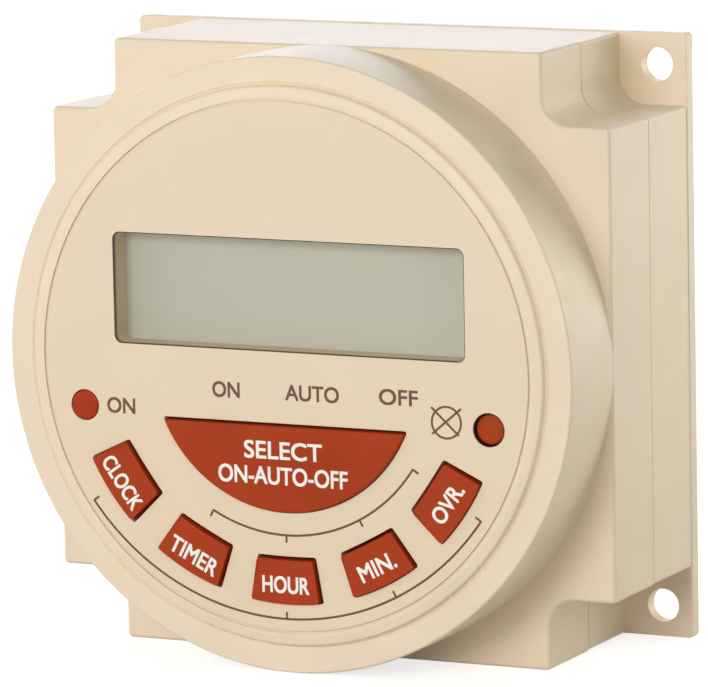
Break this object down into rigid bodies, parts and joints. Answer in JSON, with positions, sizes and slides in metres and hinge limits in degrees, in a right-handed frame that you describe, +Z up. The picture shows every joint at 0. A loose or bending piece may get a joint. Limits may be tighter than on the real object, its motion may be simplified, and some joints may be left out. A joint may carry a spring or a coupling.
{
  "type": "panel-mount electronic time switch",
  "caption": "Square panel-mount time switch with a round front, a liquid crystal display, push keys, an indicator, a relay inside and blade terminals behind.",
  "frame": {"origin": "centre of the four mounting holes, on the back mounting plane", "axes": "+X to the right seen from the front, +Y backwards out of the mounting plane, +Z up"},
  "size_m": [0.0762, 0.0395, 0.0762],
  "materials": {
    "housing": "fine matt moulded finish, sand coloured",
    "face": "satin moulded finish, sand coloured, printed",
    "keys": "matt moulded finish, rust red",
    "reset_button": "matt moulded finish, rust red",
    "lens": "translucent red-brown light pipe",
    "display_film": "grey-green polarizing film, segments off",
    "display_glass": "clear",
    "display_reflector": "satin foil",
    "display_holder": "moulded",
    "connector_rubber": "layered silicone",
    "circuit_board": "green solder resist on glass fibre",
    "switch_body": "moulded",
    "plungers": "moulded",
    "steel": "bright zinc plate",
    "contact_spring": "bright spring bronze",
    "terminal_brass": "brass blade",
    "lamp_resin": "clear red resin",
    "chip_resin": "moulded",
    "ceramic": "fired ceramic",
    "connector_body": "moulded",
    "gold_pins": "gold flash",
    "relay_case": "moulded cover",
    "relay_plastic": "moulded",
    "bobbin": "moulded",
    "copper_wire": "enamelled copper winding",
    "soft_iron": "plated iron",
    "film_capacitor": "resin filled box",
    "capacitor_sleeve": "shrink sleeve",
    "varistor_resin": "dipped resin",
    "diode_resin": "moulded",
    "resistor_resin": "lacquer"
  },
  "bodies": {
    "case": {"front_housing": "housing", "rear_housing": "housing", "face_plate": "face", "indicator_lens": "lens", "indicator_led": "lamp_resin", "lcd_front_polarizer": "display_film", "lcd_front_glass": "display_glass", "lcd_rear_glass": "display_glass", "lcd_reflector": "display_reflector", "lcd_holder": "display_holder", "zebra_strips": "connector_rubber", "control_board": "circuit_board", "power_board": "circuit_board", "key_switches": "switch_body", "switch_covers": "steel", "contact_domes": "contact_spring", "housing_screws": "steel", "face_screws": "steel", "board_screws": "steel", "backup_cell": "steel", "cell_clip": "contact_spring", "control_chip": "chip_resin", "chip_leads": "steel", "watch_crystal": "steel", "chip_components": "ceramic", "link_header": "connector_body", "link_socket": "connector_body", "link_pins": "gold_pins", "terminal_tabs": "terminal_brass", "relay_base": "relay_plastic", "relay_case": "relay_case", "relay_pins": "terminal_brass", "relay_bobbin": "bobbin", "relay_winding": "copper_wire", "relay_core": "soft_iron", "relay_yoke": "soft_iron", "relay_fixed_contact": "contact_spring", "dropper_capacitor": "film_capacitor", "filter_capacitor": "capacitor_sleeve", "varistor": "varistor_resin", "rectifier_diodes": "diode_resin", "bleed_resistor": "resistor_resin"},
    "select_body": {"select_key": "keys", "select_plunger": "plungers"},
    "clock_body": {"clock_key": "keys", "clock_plunger": "plungers"},
    "timer_body": {"timer_key": "keys", "timer_plunger": "plungers"},
    "hour_body": {"hour_key": "keys", "hour_plunger": "plungers"},
    "minute_body": {"minute_key": "keys", "minute_plunger": "plungers"},
    "override_body": {"override_key": "keys", "override_plunger": "plungers"},
    "reset_body": {"reset_button": "reset_button", "reset_plunger": "plungers"},
    "armature": {"relay_armature": "soft_iron", "relay_moving_contact": "contact_spring"}
  },
  "joints": [
    {"name": "select_press", "type": "slide", "parent": "case", "child": "select_body", "axis": [0, 1, 0], "range_m": [0, 0.0005], "stiffness_N_per_m": 1500, "springref_m": -0.0003},
    {"name": "clock_press", "type": "slide", "parent": "case", "child": "clock_body", "axis": [0, 1, 0], "range_m": [0, 0.0005], "stiffness_N_per_m": 1500, "springref_m": -0.0003},
    {"name": "timer_press", "type": "slide", "parent": "case", "child": "timer_body", "axis": [0, 1, 0], "range_m": [0, 0.0005], "stiffness_N_per_m": 1500, "springref_m": -0.0003},
    {"name": "hour_press", "type": "slide", "parent": "case", "child": "hour_body", "axis": [0, 1, 0], "range_m": [0, 0.0005], "stiffness_N_per_m": 1500, "springref_m": -0.0003},
    {"name": "minute_press", "type": "slide", "parent": "case", "child": "minute_body", "axis": [0, 1, 0], "range_m": [0, 0.0005], "stiffness_N_per_m": 1500, "springref_m": -0.0003},
    {"name": "override_press", "type": "slide", "parent": "case", "child": "override_body", "axis": [0, 1, 0], "range_m": [0, 0.0005], "stiffness_N_per_m": 1500, "springref_m": -0.0003},
    {"name": "reset_press", "type": "slide", "parent": "case", "child": "reset_body", "axis": [0, 1, 0], "range_m": [0, 0.0005], "stiffness_N_per_m": 1500, "springref_m": -0.0003},
    {"name": "relay_armature_tilt", "type": "hinge", "parent": "case", "child": "armature", "pos_m": [0.019, -0.0234, 0.014], "axis": [0, 0, 1], "range_deg": [0, 4.5], "stiffness_Nm_per_rad": 0.02, "springref_deg": -2.86}
  ]
}
